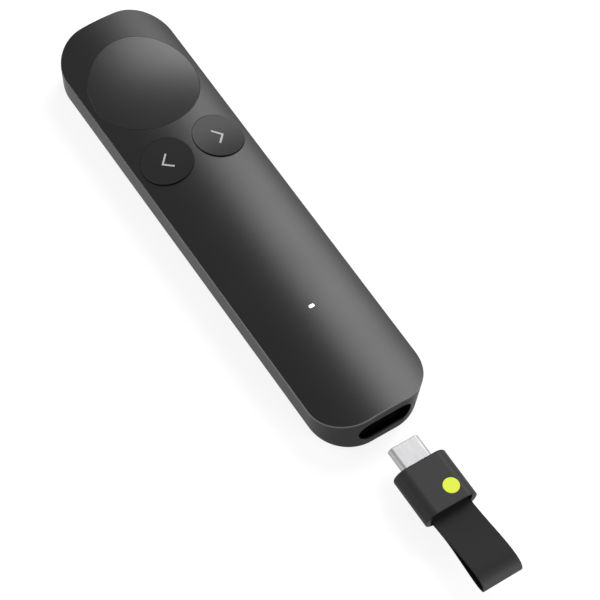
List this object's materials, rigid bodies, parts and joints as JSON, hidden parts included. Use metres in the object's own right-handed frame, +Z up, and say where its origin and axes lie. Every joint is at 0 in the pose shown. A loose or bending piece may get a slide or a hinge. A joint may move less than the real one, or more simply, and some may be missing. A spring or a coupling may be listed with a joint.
{
  "type": "wireless presentation clicker",
  "caption": "Slim hand-held slide clicker with a dished pointer pad, two round buttons and a plug-in receiver on a strap loop that stows in its tail.",
  "frame": {"origin": "middle of the remote's flat underside", "axes": "+Y along the remote towards the pointer pad, +X to the right with the cover up, +Z up through the cover"},
  "size_m": [0.03, 0.1721, 0.0136],
  "materials": {
    "base_shell": "fine matte moulded shell, dark graphite",
    "top_cover": "satin soft-touch cover, dark graphite",
    "receiver_pocket": "matte black liner",
    "main_board": "green solder mask on glass-fibre board",
    "board_screws": "bright steel",
    "charge_port_shell": "bright stamped steel",
    "charge_port_tongue": "black contact carrier",
    "charge_port_contacts": "gilt strips",
    "radio_module": "tinned shield",
    "motion_sensor": "black package",
    "charger_chip": "black package",
    "haptic_motor": "steel can",
    "battery_cell": "pouch foil",
    "battery_foam": "black foam tape",
    "battery_leads": "thin sleeved wires",
    "battery_plug": "ivory plug body",
    "status_led": "white lamp",
    "status_lens": "milky light pipe, lit white",
    "pad_switch": "black switch body",
    "next_switch": "black switch body",
    "back_switch": "black switch body",
    "pad_plunger": "pale plunger",
    "next_plunger": "pale plunger",
    "back_plunger": "pale plunger",
    "pointer_pad": "satin dished pad, dark graphite",
    "next_button": "matte dark cap",
    "next_mark": "pale grey mark",
    "back_button": "matte dark cap",
    "back_mark": "pale grey mark",
    "receiver_housing": "matte moulded housing, dark grey",
    "receiver_dot": "lime accent",
    "plug_shell": "bright drawn steel",
    "plug_insulator": "black carrier",
    "plug_contacts": "gilt strips",
    "receiver_board": "green solder mask on glass-fibre board",
    "receiver_chip": "black package",
    "strap_pin": "bright steel pin",
    "strap_loop": "smooth soft strap, dark grey"
  },
  "bodies": {
    "remote": {"base_shell": "base_shell", "top_cover": "top_cover", "receiver_pocket": "receiver_pocket", "main_board": "main_board", "board_screws": "board_screws", "charge_port_shell": "charge_port_shell", "charge_port_tongue": "charge_port_tongue", "charge_port_contacts": "charge_port_contacts", "radio_module": "radio_module", "motion_sensor": "motion_sensor", "charger_chip": "charger_chip", "haptic_motor": "haptic_motor", "battery_cell": "battery_cell", "battery_foam": "battery_foam", "battery_leads": "battery_leads", "battery_plug": "battery_plug", "status_led": "status_led", "status_lens": "status_lens", "pad_switch": "pad_switch", "next_switch": "next_switch", "back_switch": "back_switch"},
    "pointer_pad": {"pointer_pad": "pointer_pad", "pad_plunger": "pad_plunger"},
    "next_button": {"next_button": "next_button", "next_mark": "next_mark", "next_plunger": "next_plunger"},
    "back_button": {"back_button": "back_button", "back_mark": "back_mark", "back_plunger": "back_plunger"},
    "receiver": {"receiver_housing": "receiver_housing", "receiver_dot": "receiver_dot", "plug_shell": "plug_shell", "plug_insulator": "plug_insulator", "plug_contacts": "plug_contacts", "receiver_board": "receiver_board", "receiver_chip": "receiver_chip", "strap_pin": "strap_pin", "strap_loop": "strap_loop"}
  },
  "joints": [
    {"name": "pad_press", "type": "slide", "parent": "remote", "child": "pointer_pad", "axis": [0, 0, -1], "range_m": [0, 0.00035], "stiffness_N_per_m": 4000, "springref_m": -0.0001},
    {"name": "next_press", "type": "slide", "parent": "remote", "child": "next_button", "axis": [0, 0, -1], "range_m": [0, 0.0003], "stiffness_N_per_m": 4000, "springref_m": -0.0001},
    {"name": "back_press", "type": "slide", "parent": "remote", "child": "back_button", "axis": [0, 0, -1], "range_m": [0, 0.0003], "stiffness_N_per_m": 4000, "springref_m": -0.0001},
    {"name": "receiver_slide", "type": "slide", "parent": "remote", "child": "receiver", "axis": [0, 1, 0], "range_m": [0, 0.0264]}
  ]
}
